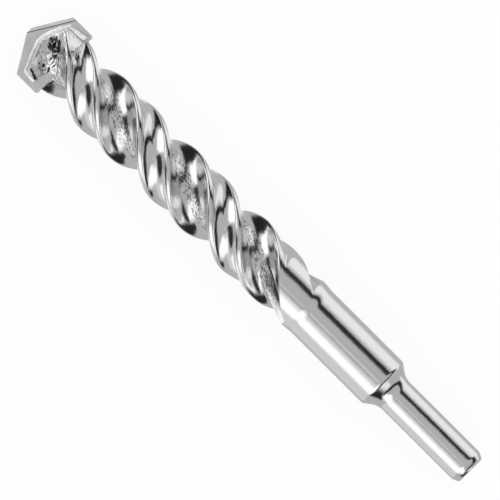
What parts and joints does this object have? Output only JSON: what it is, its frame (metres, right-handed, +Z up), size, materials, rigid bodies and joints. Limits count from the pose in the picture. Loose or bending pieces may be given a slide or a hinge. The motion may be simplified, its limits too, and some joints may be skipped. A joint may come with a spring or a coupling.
{
  "type": "masonry drill bit",
  "caption": "Masonry drill bit with a reduced round shank, a right-hand twist of shallow flutes and a brazed carbide plate ground to a roof point.",
  "frame": {"origin": "centre of the flat end face of the shank, on the bit's axis", "axes": "+X runs along the axis from the shank to the point, +Z is up as the bit lies on a flat surface, and the carbide plate stands in the X-Y plane"},
  "size_m": [0.205, 0.0264, 0.0222],
  "materials": {
    "steel": "bright nickel-plated rolled steel",
    "carbide": "fine-ground sintered tungsten carbide",
    "braze": "silver braze as it flowed"
  },
  "bodies": {
    "root": {"drill_body": "steel", "carbide_tip": "carbide", "braze_seam": "braze"}
  },
  "joints": []
}
